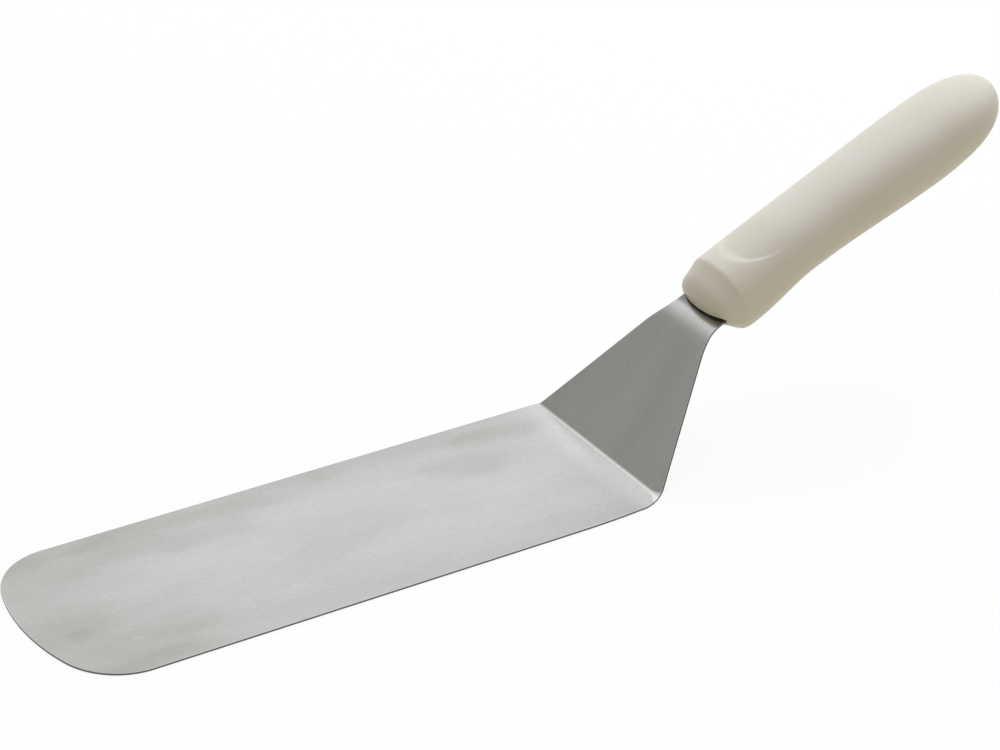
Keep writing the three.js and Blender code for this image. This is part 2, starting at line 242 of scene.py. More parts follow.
class Value:
    """An output of a shader node. Sums add Math nodes to its tree, and a | b is the greater of two."""

    def __init__(self, tree, output):
        self.tree = tree
        self.output = output

    def maths(self, operation, first, second):
        return self.tree.add("ShaderNodeMath", {"operation": operation}, {0: first, 1: second})

    def __add__(self, other):
        return self.maths("ADD", self, other)

    def __radd__(self, other):
        return self.maths("ADD", other, self)

    def __sub__(self, other):
        return self.maths("SUBTRACT", self, other)

    def __rsub__(self, other):
        return self.maths("SUBTRACT", other, self)

    def __mul__(self, other):
        return self.maths("MULTIPLY", self, other)

    def __rmul__(self, other):
        return self.maths("MULTIPLY", other, self)

    def __or__(self, other):
        return self.maths("MAXIMUM", self, other)

    def __ror__(self, other):
        return self.maths("MAXIMUM", other, self)


def greatest(values):
    return functools.reduce(operator.or_, values)


class Tree:
    """A node tree that grows one node at a time"""

    MIX_FIRST, MIX_SECOND, MIX_RESULT = 6, 7, 2  # the colour sockets of a Mix node

    def __init__(self, owner):
        owner.use_nodes = True
        self.nodes = owner.node_tree.nodes
        self.links = owner.node_tree.links
        self.nodes.clear()

    def add(self, kind, settings, sockets, output=0):
        """A new node, by one of its outputs: settings come first, then the values or links of its sockets"""
        node = self.nodes.new(kind)
        for name, value in settings.items():
            setattr(node, name, value)
        for name, value in sockets.items():
            if isinstance(value, Value):
                self.links.new(value.output, node.inputs[name])
            else:
                node.inputs[name].default_value = value
        return Value(self, node.outputs[output]) if len(node.outputs) else node

    def attribute(self, name, output):
        return self.add("ShaderNodeAttribute", {"attribute_name": name}, {}, output)

    def stretched(self, vector, scale):
        return self.add("ShaderNodeVectorMath", {"operation": "MULTIPLY"}, {0: vector, 1: scale})

    def brushed(self, vector, waves, detail, roughness=0.5):
        """Noise with its own number of waves to the metre along, across and through the sheet"""
        return self.noise(self.stretched(vector, waves), 1.0, detail, roughness)

    def noise(self, vector, scale, detail, roughness=0.5):
        sockets = {"Vector": vector, "Scale": scale, "Detail": detail, "Roughness": roughness}
        return self.add("ShaderNodeTexNoise", {"noise_dimensions": "3D"}, sockets)

    def ramp(self, value, low, high, start=0.0, end=1.0):
        sockets = {"Value": value, "From Min": low, "From Max": high, "To Min": start, "To Max": end}
        return self.add("ShaderNodeMapRange", {"interpolation_type": "SMOOTHSTEP"}, sockets)

    def mix(self, factor, first, second):
        sockets = {"Factor": factor, self.MIX_FIRST: first, self.MIX_SECOND: second}
        return self.add("ShaderNodeMix", {"data_type": "RGBA"}, sockets, self.MIX_RESULT)

    def dot(self, vector, direction):
        sockets = {0: vector, 1: direction}
        return self.add("ShaderNodeVectorMath", {"operation": "DOT_PRODUCT"}, sockets, "Value")

    def distance(self, vector, point, stretch):
        moved = self.add("ShaderNodeVectorMath", {"operation": "SUBTRACT"}, {0: vector, 1: point})
        scaled = self.stretched(moved, stretch)
        return self.add("ShaderNodeVectorMath", {"operation": "LENGTH"}, {0: scaled}, "Value")


def rgba(colour_property):
    return (*colour_property, 1.0)


WHITE = (1.0, 1.0, 1.0, 1.0)
MIDDLE = 0.5  # of the values of a noise

# Noises on the steel, with waves to the metre along, across and through the sheet.
HAZE = {"waves": (14, 45, 1), "detail": 4.0, "roughness": 0.55}
STREAK = {"waves": (55, 1500, 1), "detail": 2.0}
HAIR = {"waves": (420, 2600, 1), "detail": 2.0}
WANDER = {"waves": (45, 90, 1), "detail": 5.0}
# Noises that are alike in all directions, with waves to the metre.
FLECK = {"scale": 650.0, "detail": 2.0}
FLOW = {"scale": 38.0, "detail": 3.0}
SKIN = {"scale": 1500.0, "detail": 2.0}
RIPPLE = {"scale": 160.0, "detail": 2.0}
# Values of a noise between which its marks fade in.
HAZE_FADE = (0.3, 0.75)
FLECK_FADE = (0.42, 0.62)
FLOW_FADE = (0.3, 0.7)

# How much each mark darkens the steel.
DULLING = {
    "clean": 0.12,
    "haze": 0.19,
    "cloud": 0.25,
    # Darker towards the tip.
    "tip": 0.29,
    "side": 0.17,
    "streak": 0.19,
    "hair": 0.48,
    # Painted shade: the slot's shadow and dark reflection on the steel by the lip.
    "lip_shade": 0.75,
}
# How much each mark brightens it: scratches, and the painted highlight before the crease, less towards its
# far end and broken up by the grain.
SHINE = {"scratch": 0.3, "crease": 0.9, "crease_far": 0.4, "crease_grain": 1.5}
# How much each mark changes the roughness.
ROUGHENING = {"haze": 0.1, "sheared": 0.22, "flow": 0.1, "skin": 0.06}
# Heights in the bumps, as shares of those of the hairs on the steel and of the skin on the plastic.
STREAK_HEIGHT = 0.4
RIPPLE_HEIGHT = 2.0

# The sheared edge gets painted shade above this share of shearing.
SHEARED_FROM = 0.6  # share of shearing above which the edge darkens
# Reach of the painted shade and reflection of the slot on the steel, before and behind the lip.
LIP_SHADE_BEFORE = 1.9 * MM
LIP_SHADE_BEHIND = 0.3 * MM

# Cloudy patches on the blade: place along and across it, and size, in millimetres, and strength.
CLOUDS = (
    ((41, 32), (14, 5), 1.0),
    ((16, -5), (17, 10), 0.5),
    ((13.5, -10.5), (5, 3.5), 0.95),
    ((31, -31), (20, 6), 0.9),
    ((76, 31), (40, 7), 1.0),
    ((60, 22), (34, 6), 0.8),
    ((170, 14), (18, 7), 1.0),
    ((187, 26), (16, 6), 1.0),
    ((44, -22), (26, 8), 0.9),
)
# Distances from a cloud's middle, in its own sizes, and how far its outline wanders.
CLOUD_RIM, CLOUD_CORE, CLOUD_WANDER = 1.6, 0.1, 2.4
# Hairline scratches: centre and radius of an arc, and middle and half length of the stretch that shows.
SCRATCHES = (
    ((60, 0), 81.7, (141.8, 1), 12),
    ((134.5, -14), 5.2, (139.7, -15), 3.5),
    ((141, -33), 8.2, (133.2, -32), 4),
    ((125.5, -29), 6.2, (120.3, -32), 5),
)
# Distances from a scratch's line and how far it wanders, in millimetres, and the share of its length in full.
SCRATCH_RIM, SCRATCH_CORE, SCRATCH_WANDER, SCRATCH_FULL = 0.3, 0.05, 0.3, 0.5


def clouds(tree, blank, wander):
    """How cloudy the steel is: soft ovals with ragged outlines"""
    masks = []
    for (place_along, place_across), (long, wide), strength in CLOUDS:
        stretch = (1 / (long * MM), 1 / (wide * MM), 0.0)
        away = tree.distance(blank, (place_along * MM, place_across * MM, 0.0), stretch)
        masks.append(tree.ramp(away + wander * CLOUD_WANDER, CLOUD_RIM, CLOUD_CORE, 0.0, strength))
    return greatest(masks)


def scratches(tree, blank, wander):
    """Where the steel is scratched: broken stretches of thin arcs"""
    in_mm = (1 / MM, 1 / MM, 0.0)
    broken = tree.ramp(tree.noise(blank, **FLECK), *FLECK_FADE)
    masks = []
    for (centre_along, centre_across), radius, (show_along, show_across), reach in SCRATCHES:
        off_line = tree.distance(blank, (centre_along * MM, centre_across * MM, 0.0), in_mm) - radius
        off_line = tree.add("ShaderNodeMath", {"operation": "ABSOLUTE"}, {0: off_line})
        line = tree.ramp(off_line + wander * SCRATCH_WANDER, SCRATCH_RIM, SCRATCH_CORE)
        away = tree.distance(blank, (show_along * MM, show_across * MM, 0.0), in_mm)
        masks.append(line * tree.ramp(away, reach, reach * SCRATCH_FULL) * broken)
    return greatest(masks)


def brushed_steel(finish, blank_shape):
    """Brushed stainless sheet, cloudy from handling, darker towards its tip, with painted highlights on its
    rims and before the crease, and painted shade on its sheared edges and on the steel by the lip
    """
    material = bpy.data.materials.new("brushed_steel")
    tree = Tree(material)
    blank = tree.attribute("blank", "Vector")
    edge = tree.attribute("cut_edge", "Fac")
    along = tree.add("ShaderNodeSeparateXYZ", {}, {0: blank}, "X")
    across = tree.add("ShaderNodeSeparateXYZ", {}, {0: blank}, "Y")
    haze = tree.brushed(blank, **HAZE)
    streak = tree.brushed(blank, **STREAK)
    hair = tree.brushed(blank, **HAIR)
    wander = tree.brushed(blank, **WANDER) - MIDDLE
    grain = (streak - MIDDLE) * DULLING["streak"] + (hair - MIDDLE) * DULLING["hair"]
    half = blank_shape.side
    # Darker towards the tip and towards the sides.
    darkening_at_tip_and_sides = tree.ramp(along, finish.tip_darkening, 0.0) * DULLING["tip"]
    darkening_at_tip_and_sides = darkening_at_tip_and_sides + tree.ramp(across | across * -1, half - finish.side_wear, half) * DULLING["side"]
    stains = tree.ramp(haze, *HAZE_FADE) * DULLING["haze"] + clouds(tree, blank, wander) * DULLING["cloud"]
    dull = stains + darkening_at_tip_and_sides + grain + DULLING["clean"]
    steel = tree.mix(dull, rgba(finish.steel_light), rgba(finish.steel_dark))
    start = blank_shape.crease_start
    crease_middle = (start + blank_shape.crease_end) / 2
    # Painted highlight on the blade before the crease, fainter towards its far end.
    crease_highlight = tree.ramp(along, start - finish.crease_highlight_width, start) * tree.ramp(along, crease_middle, start)
    crease_highlight = crease_highlight * tree.ramp(across, half, -half, SHINE["crease_far"], 1.0)
    crease_highlight = crease_highlight * (SHINE["crease"] - grain * SHINE["crease_grain"])
    # Painted highlight on the rounded upper edge: the product is greatest, a quarter, where the edge is half
    # sheared.
    rim = edge * (1 - edge) * 4
    highlights_and_scratches = rim | scratches(tree, blank, wander) * SHINE["scratch"] | crease_highlight
    steel = tree.mix(highlights_and_scratches, steel, rgba(finish.steel_bright))
    # Painted shade on the sheared edge, where the steel would otherwise mirror the white floor.
    sheared = tree.ramp(edge, SHEARED_FROM, 1.0)
    lip = blank_shape.lip
    # Painted shade and reflection of the slot on the steel just before the lip.
    lip_shade = tree.ramp(along, lip - LIP_SHADE_BEFORE, lip + LIP_SHADE_BEHIND) * DULLING["lip_shade"]
    height = streak * STREAK_HEIGHT + hair
    bump = tree.add("ShaderNodeBump", {}, {"Strength": 0.1, "Distance": 0.02 * MM, "Height": height})
    roughness = finish.steel_roughness + (haze - MIDDLE) * ROUGHENING["haze"]
    shader = tree.add(
        "ShaderNodeBsdfPrincipled",
        {},
        {
            "Base Color": tree.mix(sheared | lip_shade, steel, rgba(finish.steel_shade)),
            "Metallic": 1.0,
            "Roughness": roughness + sheared * ROUGHENING["sheared"],
            "Normal": bump,
        },
    )
    tree.add("ShaderNodeOutputMaterial", {}, {"Surface": shader})
    return material


def moulded_ivory(finish):
    """Waxy moulded plastic with faint flow marks and a fine satin skin"""
    material = bpy.data.materials.new("moulded_ivory")
    tree = Tree(material)
    where = tree.add("ShaderNodeTexCoord", {}, {}, "Object")
    flow = tree.noise(where, **FLOW)
    skin = tree.noise(where, **SKIN)
    ripple = tree.noise(where, **RIPPLE)
    height = skin + ripple * RIPPLE_HEIGHT
    bump = tree.add("ShaderNodeBump", {}, {"Strength": 0.1, "Distance": 0.03 * MM, "Height": height})
    ivory = tree.mix(tree.ramp(flow, *FLOW_FADE), rgba(finish.ivory), rgba(finish.ivory_pale))
    roughness = finish.ivory_roughness + (flow - MIDDLE) * ROUGHENING["flow"]
    shader = tree.add(
        "ShaderNodeBsdfPrincipled",
        {},
        {
            "Base Color": ivory,
            "Roughness": roughness + (skin - MIDDLE) * ROUGHENING["skin"],
            "Specular IOR Level": 0.6,
            "Subsurface Weight": 0.3,
            "Subsurface Radius": (1.0, 0.8, 0.45),
            "Subsurface Scale": 4.0 * MM,
            "Normal": bump,
        },
    )
    tree.add("ShaderNodeOutputMaterial", {}, {"Surface": shader})
    return material


def white_floor(stage):
    """Pale floor that the camera and mirrors see as white, and that still takes a soft shadow"""
    material = bpy.data.materials.new("white_floor")
    tree = Tree(material)
    seen = tree.add("ShaderNodeLightPath", {}, {}, "Is Camera Ray")
    seen = seen | tree.add("ShaderNodeLightPath", {}, {}, "Is Glossy Ray")
    seen = seen | tree.add("ShaderNodeLightPath", {}, {}, "Is Transmission Ray")
    pale = tree.add("ShaderNodeBsdfDiffuse", {}, {"Color": rgba(stage.floor_colour)})
    white = tree.add("ShaderNodeEmission", {}, {"Color": WHITE, "Strength": 1.0})
    clean = tree.add("ShaderNodeBsdfDiffuse", {}, {"Color": rgba(stage.floor_white)})
    shown = tree.add("ShaderNodeMixShader", {}, {0: stage.floor_glow, 1: clean, 2: white})
    surface = tree.add("ShaderNodeMixShader", {}, {0: seen, 1: pale, 2: shown})
    tree.add("ShaderNodeOutputMaterial", {}, {"Surface": surface})
    return material


def towards_camera(stage):
    level = math.cos(stage.elevation)
    return Vector(
        (math.sin(stage.azimuth) * level, -math.cos(stage.azimuth) * level, math.sin(stage.elevation))
    )


def studio_world(stage):
    """White for the camera. Mirrors and shading see a lit backdrop and ceiling in a darker room."""
    world = bpy.data.worlds.new("studio")
    tree = Tree(world)
    direction = tree.add("ShaderNodeTexCoord", {}, {}, "Generated")
    back = towards_camera(stage)
    backdrop = (-back.x, -back.y, back.z)
    lit = tree.ramp(tree.dot(direction, backdrop), stage.backdrop_edge, stage.backdrop_core)
    ceiling = tree.ramp(tree.dot(direction, stage.ceiling), stage.ceiling_edge, stage.ceiling_core)
    mirrored = tree.add("ShaderNodeLightPath", {}, {}, "Is Glossy Ray")
    mirrored = mirrored | tree.add("ShaderNodeLightPath", {}, {}, "Is Transmission Ray")
    lit = lit * (stage.backdrop_fill + mirrored * (1 - stage.backdrop_fill))
    lit = lit | ceiling * mirrored | tree.add("ShaderNodeLightPath", {}, {}, "Is Camera Ray")
    room = tree.add("ShaderNodeBackground", {}, {"Color": rgba(stage.room), "Strength": 1.0})
    white = tree.add("ShaderNodeBackground", {}, {"Color": WHITE, "Strength": 1.0})
    surface = tree.add("ShaderNodeMixShader", {}, {0: lit, 1: room, 2: white})
    tree.add("ShaderNodeOutputWorld", {}, {"Surface": surface})
    return world


# Shapes


MERGE_DISTANCE = 1e-7  # metres


def ease(t):
    """Rises from 0 to 1 as t does, and is level at both"""
    return (1 - np.cos(np.pi * np.clip(t, 0, 1))) / 2


def bulge(radius, offset):
    """Height of a circle at an offset from its middle"""
    return np.sqrt(np.maximum(radius**2 - offset**2, 0))


def level_off(t, power):
    """Rises as t does, then turns level at 1: the higher the power, the tighter the turn"""
    return t / (1 + t**power) ** (1 / power)


def round_off(count):
    """Shares of a rounded end's length, from its apex, that cut its curve into equal turns"""
    return 1 - np.cos(np.linspace(0, np.pi / 2, count))


def through(at, stations):
    """A line through stations of (distance, value) that is level at each of them"""
    line = np.full(at.shape, stations[0][1])
    for (start, value), (stop, following) in zip(stations, stations[1:]):
        line += (following - value) * ease((at - start) / (stop - start))
    return line


class Side:
    """One side of the sheet, and where it turns in from the blade's width to the neck's"""

    def __init__(self, sizes, setback, taper, radius, flare, toe=0.0):
        self.radius = radius
        self.toe = toe
        self.half = sizes.blade_width / 2 - toe
        self.flare = flare
        self.slope = math.tan(taper)
        self.taper = sizes.blade_length - setback
        shoulder = radius * math.tan(taper / 2)
        self.shoulder_start = self.taper - shoulder
        self.shoulder_end = self.taper + shoulder * math.cos(taper)
        taper_end = self.taper + (self.half - sizes.neck_width / 2) / self.slope
        fillet = sizes.neck_fillet * math.tan(taper / 2)
        self.fillet_start = taper_end - fillet * math.cos(taper)
        self.fillet_end = taper_end + fillet
        self.crease_half = self.half - setback * self.slope


class Blank:
    """The steel sheet: its flat outline, and where its points go when it is bent"""

    TIP_ROWS = 72
    BEND_ROWS = 14
    FINE_ROWS = 2 * BEND_ROWS
    EDGE_LOOPS = 6
    FACE_INSET = 3  # in edge radii, of the loop where the flat faces end
    RIM = 0.06  # share of shearing where the rounding of the edge starts
    # Shares of the half width, closer together towards the sides.
    COLUMNS = np.concatenate([np.linspace(0, 0.6, 4), np.linspace(0.7, 1, 16)])

    def __init__(self, sizes):
        self.sizes = s = sizes
        self.neck_turn = s.crease_angle - s.handle_angle
        self.neck_reach = s.neck_radius * math.tan(self.neck_turn / 2)
        self.side, self.neck, self.tang = s.blade_width / 2, s.neck_width / 2, s.tang_width / 2
        self.corner_across = self.side - s.tip_corner_radius
        arc_gap = s.tip_arc_radius - s.tip_corner_radius
        arc_rise = math.sqrt(arc_gap**2 - self.corner_across**2)
        self.corner = s.tip_arc_radius - arc_rise
        self.arc_end = s.tip_arc_radius - arc_rise * s.tip_arc_radius / arc_gap
        self.near = Side(s, s.near_setback, s.near_taper, s.near_radius, s.near_flare, s.near_toe)
        self.far = Side(s, s.far_setback, s.far_taper, s.far_radius, s.far_flare)
        ends = np.cumsum([run for run, _ in self.runs(0.0)])
        self.crease_start, self.crease_end, self.neck_start, self.neck_end = ends[:4]
        self.flare_reach = s.near_flare * math.tan(s.crease_angle / 2)
        self.lip = self.neck_end + s.neck_length - self.neck_reach
        self.tang_shoulder = self.lip + s.tang_shoulder_depth
        self.end = self.lip + s.tang_length

    def runs(self, across):
        """Length and turn of each stretch of the bent sheet: the crease opens out towards the sides"""
        s = self.sizes
        is_near = np.less(across, 0)
        crease_half = np.where(is_near, self.near.crease_half, self.far.crease_half)
        outward = np.clip((np.abs(across) - crease_half) / s.crease_flare_width + 1, 0, 1)
        flare = np.where(is_near, self.near.flare, self.far.flare)
        radius = s.crease_radius + (flare - s.crease_radius) * outward**2
        reach = radius * math.tan(s.crease_angle / 2)
        return (
            (s.blade_length - reach, 0.0),
            (radius * s.crease_angle, s.crease_angle),
            (s.shank_length - reach - self.neck_reach, 0.0),
            (s.neck_radius * self.neck_turn, -self.neck_turn),
            (math.inf, 0.0),
        )

    def half_width(self, along, side):
        """How far one side of the flat sheet lies from its middle line, at distances from the tip"""
        s = self.sizes
        narrowing = ease((along - self.tang_shoulder) / s.tang_shoulder_length)
        toe = side.toe * np.clip((along - side.shoulder_start) / s.near_toe_length + 1, 0, 1) ** 2
        pieces = (
            (self.arc_end, bulge(s.tip_arc_radius, s.tip_arc_radius - along)),
            (self.corner, self.corner_across + bulge(s.tip_corner_radius, self.corner - along)),
            (side.shoulder_start, self.side - toe),
            (side.shoulder_end, side.half - side.radius + bulge(side.radius, along - side.shoulder_start)),
            (side.fillet_start, side.half - (along - side.taper) * side.slope),
            (side.fillet_end, self.neck + s.neck_fillet - bulge(s.neck_fillet, side.fillet_end - along)),
            (self.end - self.tang, self.neck + (self.tang - self.neck) * narrowing),
            (math.inf, bulge(self.tang, along - (self.end - self.tang))),
        )
        return np.select([along < end for end, _ in pieces], [width for _, width in pieces])

    def bend(self, along, across, height):
        """Places of points that lie so far along, across and above the middle of the flat sheet"""
        x = np.full(along.shape, -self.sizes.blade_length / 2)
        z = np.full(along.shape, self.sizes.thickness / 2)
        slope = np.zeros(along.shape)
        left = along.copy()
        for run, turn in self.runs(across):
            part = np.minimum(left, run)
            turned = turn * part / run
            chord = part * np.sinc(turned / (2 * np.pi))
            x += chord * np.cos(slope + turned / 2)
            z += chord * np.sin(slope + turned / 2)
            slope += turned
            left -= part
        return np.stack([x - height * np.sin(slope), across, z + height * np.cos(slope)], axis=-1)

    def rows(self):
        """Distances from the tip of the mesh's rows, closer together where the sheet turns or bends"""
        s = self.sizes
        stops = (
            (self.corner, self.BEND_ROWS),
            (self.near.shoulder_start - s.near_toe_length, self.BEND_ROWS),
            (self.near.shoulder_start, self.FINE_ROWS),
            (self.crease_start, self.FINE_ROWS),
            (self.crease_end, self.FINE_ROWS),
            (self.crease_end + self.flare_reach, self.FINE_ROWS),
            (self.neck_start, self.FINE_ROWS),
            (self.neck_end, self.BEND_ROWS),
            (self.tang_shoulder, self.BEND_ROWS),
            (self.tang_shoulder + s.tang_shoulder_length, 1),
        )
        parts = [round_off(self.TIP_ROWS)[:-1] * self.corner]
        for (start, count), (stop, _) in zip(stops, stops[1:]):
            parts.append(np.linspace(start, stop, count, endpoint=False))
        parts.append([stops[-1][0]])
        parts.append(self.end - round_off(self.BEND_ROWS)[::-1] * self.tang)
        return np.concatenate(parts)

    def edge_profile(self):
        """Inset, height and share of shearing of the loops round the edge, from the upper face down"""
        half, upper, lower = self.sizes.thickness / 2, self.sizes.edge_radius, self.sizes.burr_radius
        turn = np.linspace(0, np.pi / 2, self.EDGE_LOOPS)
        fall = turn[::-1]
        face = [self.FACE_INSET * upper]
        inset = np.concatenate([face, upper * (1 - np.sin(turn)), lower * (1 - np.sin(fall)), face])
        top = half - upper * (1 - np.cos(turn))
        height = np.concatenate([[half], top, lower * (1 - np.cos(fall)) - half, [-half]])
        turning = self.RIM + (1 - self.RIM) * np.sin(turn) ** 2
        sheared = np.concatenate([[0.0], turning, np.ones(fall.size), [0.0]])
        return inset, height, sheared

    def loops(self, side, inset):
        """Points along one side of the flat sheet, moved in by each inset"""
        rows = self.rows()
        path = np.stack([rows, self.half_width(rows, side)], axis=-1)
        run = np.gradient(path, axis=0)
        normal = np.stack([-run[:, 1], run[:, 0]], axis=-1)
        normal /= np.linalg.norm(normal, axis=1, keepdims=True)
        normal[0], normal[-1] = (-1, 0), (1, 0)
        return path - normal * inset[:, None, None]

    def section(self, last):
        """Loop and share of the half width of each point round a cross-section of the sheet"""
        edge = list(range(1, last))
        columns = np.concatenate([-self.COLUMNS[:0:-1], self.COLUMNS])
        loops = [0] * columns.size + edge + [last] * columns.size + edge[::-1]
        shares = [columns, np.ones(len(edge)), columns[::-1], -np.ones(len(edge))]
        return np.array(loops), np.concatenate(shares)


def quads(grid):
    """Faces between the rows and columns of a grid of vertex numbers"""
    corners = (grid[:-1, :-1], grid[:-1, 1:], grid[1:, 1:], grid[1:, :-1])
    return np.stack([c.ravel() for c in corners], axis=-1).tolist()


def make_piece(name, points, faces, attributes, material):
    """A smooth closed mesh object, with its doubled points merged and its faces turned outwards"""
    mesh = bpy.data.meshes.new(name)
    mesh.from_pydata(points.reshape(-1, 3).tolist(), [], faces)
    for label, (kind, field, values) in attributes.items():
        layer = mesh.attributes.new(label, kind, "POINT")
        layer.data.foreach_set(field, np.ascontiguousarray(values, dtype=np.float32).ravel())
    skin = bmesh.new()
    skin.from_mesh(mesh)
    bmesh.ops.remove_doubles(skin, verts=skin.verts, dist=MERGE_DISTANCE)
    bmesh.ops.recalc_face_normals(skin, faces=skin.faces)
    if skin.calc_volume(signed=True) < 0:
        bmesh.ops.reverse_faces(skin, faces=skin.faces)
    open_edges = [edge for edge in skin.edges if not edge.is_manifold]
    skin.to_mesh(mesh)
    skin.free()
    if open_edges:
        raise RuntimeError(f"{name} has {len(open_edges)} open edges")
    mesh.shade_smooth()
    mesh.materials.append(material)
    piece = bpy.data.objects.new(name, mesh)
    bpy.context.scene.collection.objects.link(piece)
    return piece


class Grip:
    """The moulded handle in its own frame: back from the lip, across, and up from the middle of the tang"""

    SIDES = 176
    GATHER = 0.3  # how closely a ring's points gather towards its top
    POCKET_RINGS = 40
    POCKET_END = 0.999  # share of the run from the slot to the tang's end
    SLOT_RINGS = 6
    SLOT_SHALLOW = 0.1  # share of the slot's depth where its rounded mouth takes over
    MOUTH_RINGS = 5
    MOUTH_SIDE, MOUTH_FLOOR = 1 / 3, 1 / 2  # shares of the roof's rounding
    FACE_RINGS = 9
    RIM_RINGS = 8
    BODY_START = 1.25  # in radii of the nose's top
    REST_STEP = 0.36 * MM
    BELLY_RINGS = 26
    BUTT_RINGS = 56
    OPENING_SIDE, OPENING_HEIGHT = 0.25, 0.5  # powers that square the corners of a flat opening
    REST_TURN = 6  # power that keeps the thumb rest's wider slope to its front
    REST_MIDDLE = 0.5  # least share of the oval to divide by, near its middle

    def __init__(self, sizes, blank):
        self.sizes = sizes
        self.blank = blank
        self.wall = blank.sizes.thickness / 2 + sizes.mould_gap
        spread = np.linspace(0, 2 * np.pi, self.SIDES, endpoint=False)
        self.turn = spread + self.GATHER * np.cos(spread)

    def butt(self, at, run):
        """Share of the height or width that is left where the butt closes in over a run"""
        into = np.clip((at - (self.sizes.length - run)) / run, 0, 1)
        return (1 - into**self.sizes.butt_power) ** (1 / self.sizes.butt_power)

    def thumb_rest(self, at, across):
        """Depth of the thumb rest below the top line"""
        s = self.sizes
        reach = np.hypot((at - s.rest_at) / s.rest_length, across / s.rest_half_width)
        off_middle = np.maximum(reach, self.REST_MIDDLE)
        ahead = np.clip((s.rest_at - at) / (s.rest_length * off_middle), 0, 1)
        slope = s.rest_wall * (1 + s.rest_soft * ahead**self.REST_TURN)
        wall = ease((1 - reach) * s.rest_half_width / slope)
        front = s.rest_at - s.rest_length
        return s.rest_depth * wall * (1 - ease((at - front) / s.rest_fade))

    def bow(self, across):
        """How far the lip lies back from its middle"""
        return self.sizes.nose_bow - bulge(self.sizes.nose_bow, across)

    def skin(self, at, inset=0.0):
        """One ring of the skin: at and inset may differ round it"""
        s = self.sizes
        at = at * np.ones(self.SIDES)
        widths = (
            (s.guard_at, s.guard_half_width),
            (s.waist_at, s.waist_half_width),
            (s.belly_at, s.belly_half_width),
        )
        tops = ((s.guard_at, s.guard_top), (s.waist_at, s.waist_top))
        depths = ((s.guard_at, s.guard_depth), (s.waist_at, s.waist_depth), (s.belly_at, s.belly_depth))
        half = through(at, widths) * self.butt(at, s.butt_side_length)
        top = s.butt_apex + (through(at, tops) - s.butt_apex) * self.butt(at, s.butt_top_length)
        fall = (through(at, depths) + s.butt_apex) * self.butt(at, s.butt_under_length)
        bottom = s.butt_apex - fall
        middle = (top + bottom) / 2
        bevel = at / s.bevel_length
        half = s.nose_half_width + (half - s.nose_half_width) * level_off(bevel, s.bevel_edge) - inset
        rise = level_off(bevel**s.bevel_power, s.bevel_edge)
        top = s.nose_top + (top - s.nose_top) * rise - inset
        guard = level_off(at / s.guard_front, s.guard_corner)
        bottom = -s.lip_depth + (bottom + s.lip_depth) * guard
        lower_power = s.lip_power + (s.section_power - s.lip_power) * guard
        cos, sin = np.cos(self.turn), np.sin(self.turn)
        power = np.where(sin > 0, s.section_power, lower_power)
        across = np.sign(cos) * half * np.abs(cos) ** (2 / power)
        reach = np.where(sin > 0, top, bottom) - middle
        height = middle + reach * np.abs(sin) ** (2 / power)
        height -= np.where(sin > 0, self.thumb_rest(at, across), 0)
        bowed = self.bow(across) * (1 - np.clip(bevel, 0, 1))
        return np.stack([at + bowed, across, height], axis=-1)

    def flat_ring(self, at, half, low, high, bowed):
        """A ring round a flat opening, which follows the lip's bow or lies straight across"""
        cos, sin = np.cos(self.turn), np.sin(self.turn)
        across = np.sign(cos) * half * np.abs(cos) ** self.OPENING_SIDE
        rise = np.sign(sin) * np.abs(sin) ** self.OPENING_HEIGHT
        height = (low + high) / 2 + (high - low) / 2 * rise
        return np.stack([at + bowed * self.bow(across), across, height], axis=-1)

    def pocket(self):
        """Rings round the tang, from its end out to the slot"""
        s, blank = self.sizes, self.blank
        run = (blank.sizes.tang_length - s.slot_depth) * self.POCKET_END
        for at in s.slot_depth + run * (1 - round_off(self.POCKET_RINGS)):
            half = blank.half_width(np.array([blank.lip + at]), blank.far)[0] + s.mould_gap
            yield self.flat_ring(at, half, -self.wall, self.wall, 0.0)

    def slot(self):
        """Rings of the relief slot, from its end out round its mouth"""
        s = self.sizes
        for depth in np.linspace(1.0, self.SLOT_SHALLOW, self.SLOT_RINGS):
            at = depth * s.slot_depth
            yield self.flat_ring(at, s.slot_half_width, -self.wall, s.slot_top, 1 - depth)
        for t in np.linspace(0.0, np.pi / 2, self.MOUTH_RINGS):
            out = s.slot_edge * (1 - math.cos(t))
            half = s.slot_half_width + out * self.MOUTH_SIDE
            low = -self.wall - out * self.MOUTH_FLOOR
            yield self.flat_ring(s.slot_edge * (1 - math.sin(t)), half, low, s.slot_top + out, 1.0)

    def nose(self, mouth):
        """Rings of the front face, from the slot's mouth out, and of the rounding at its rim"""
        s = self.sizes
        side = np.maximum(np.sin(self.turn), 0)
        edge = s.nose_side_radius + (s.nose_top_radius - s.nose_side_radius) * side
        rim = self.skin(0.0, edge)
        for t in np.linspace(0, 1, self.FACE_RINGS)[1:-1]:
            face = mouth * (1 - t) + rim * t
            face[:, 0] = self.bow(face[:, 1])
            yield face
        for t in np.linspace(0, np.pi / 2, self.RIM_RINGS):
            yield self.skin(edge * (1 - math.cos(t)), edge * (1 - math.sin(t)))

    def body(self):
        """Rings from behind the nose to the butt, closest together over the thumb rest"""
        s = self.sizes
        rest_end = s.rest_at + s.rest_length / 2
        butt_start = s.length - s.butt_top_length
        stations = np.concatenate(
            [
                np.arange(self.BODY_START * s.nose_top_radius, rest_end, self.REST_STEP),
                np.linspace(rest_end, butt_start, self.BELLY_RINGS, endpoint=False),
                s.length - round_off(self.BUTT_RINGS)[::-1] * s.butt_top_length,
            ]
        )
        for at in stations:
            yield self.skin(at)

    def rings(self):
        """Rings of the whole skin, from the end of the pocket out to the lip and back to the butt"""
        inside = [*self.pocket(), *self.slot()]
        return np.array([*inside, *self.nose(inside[-1]), *self.body()])

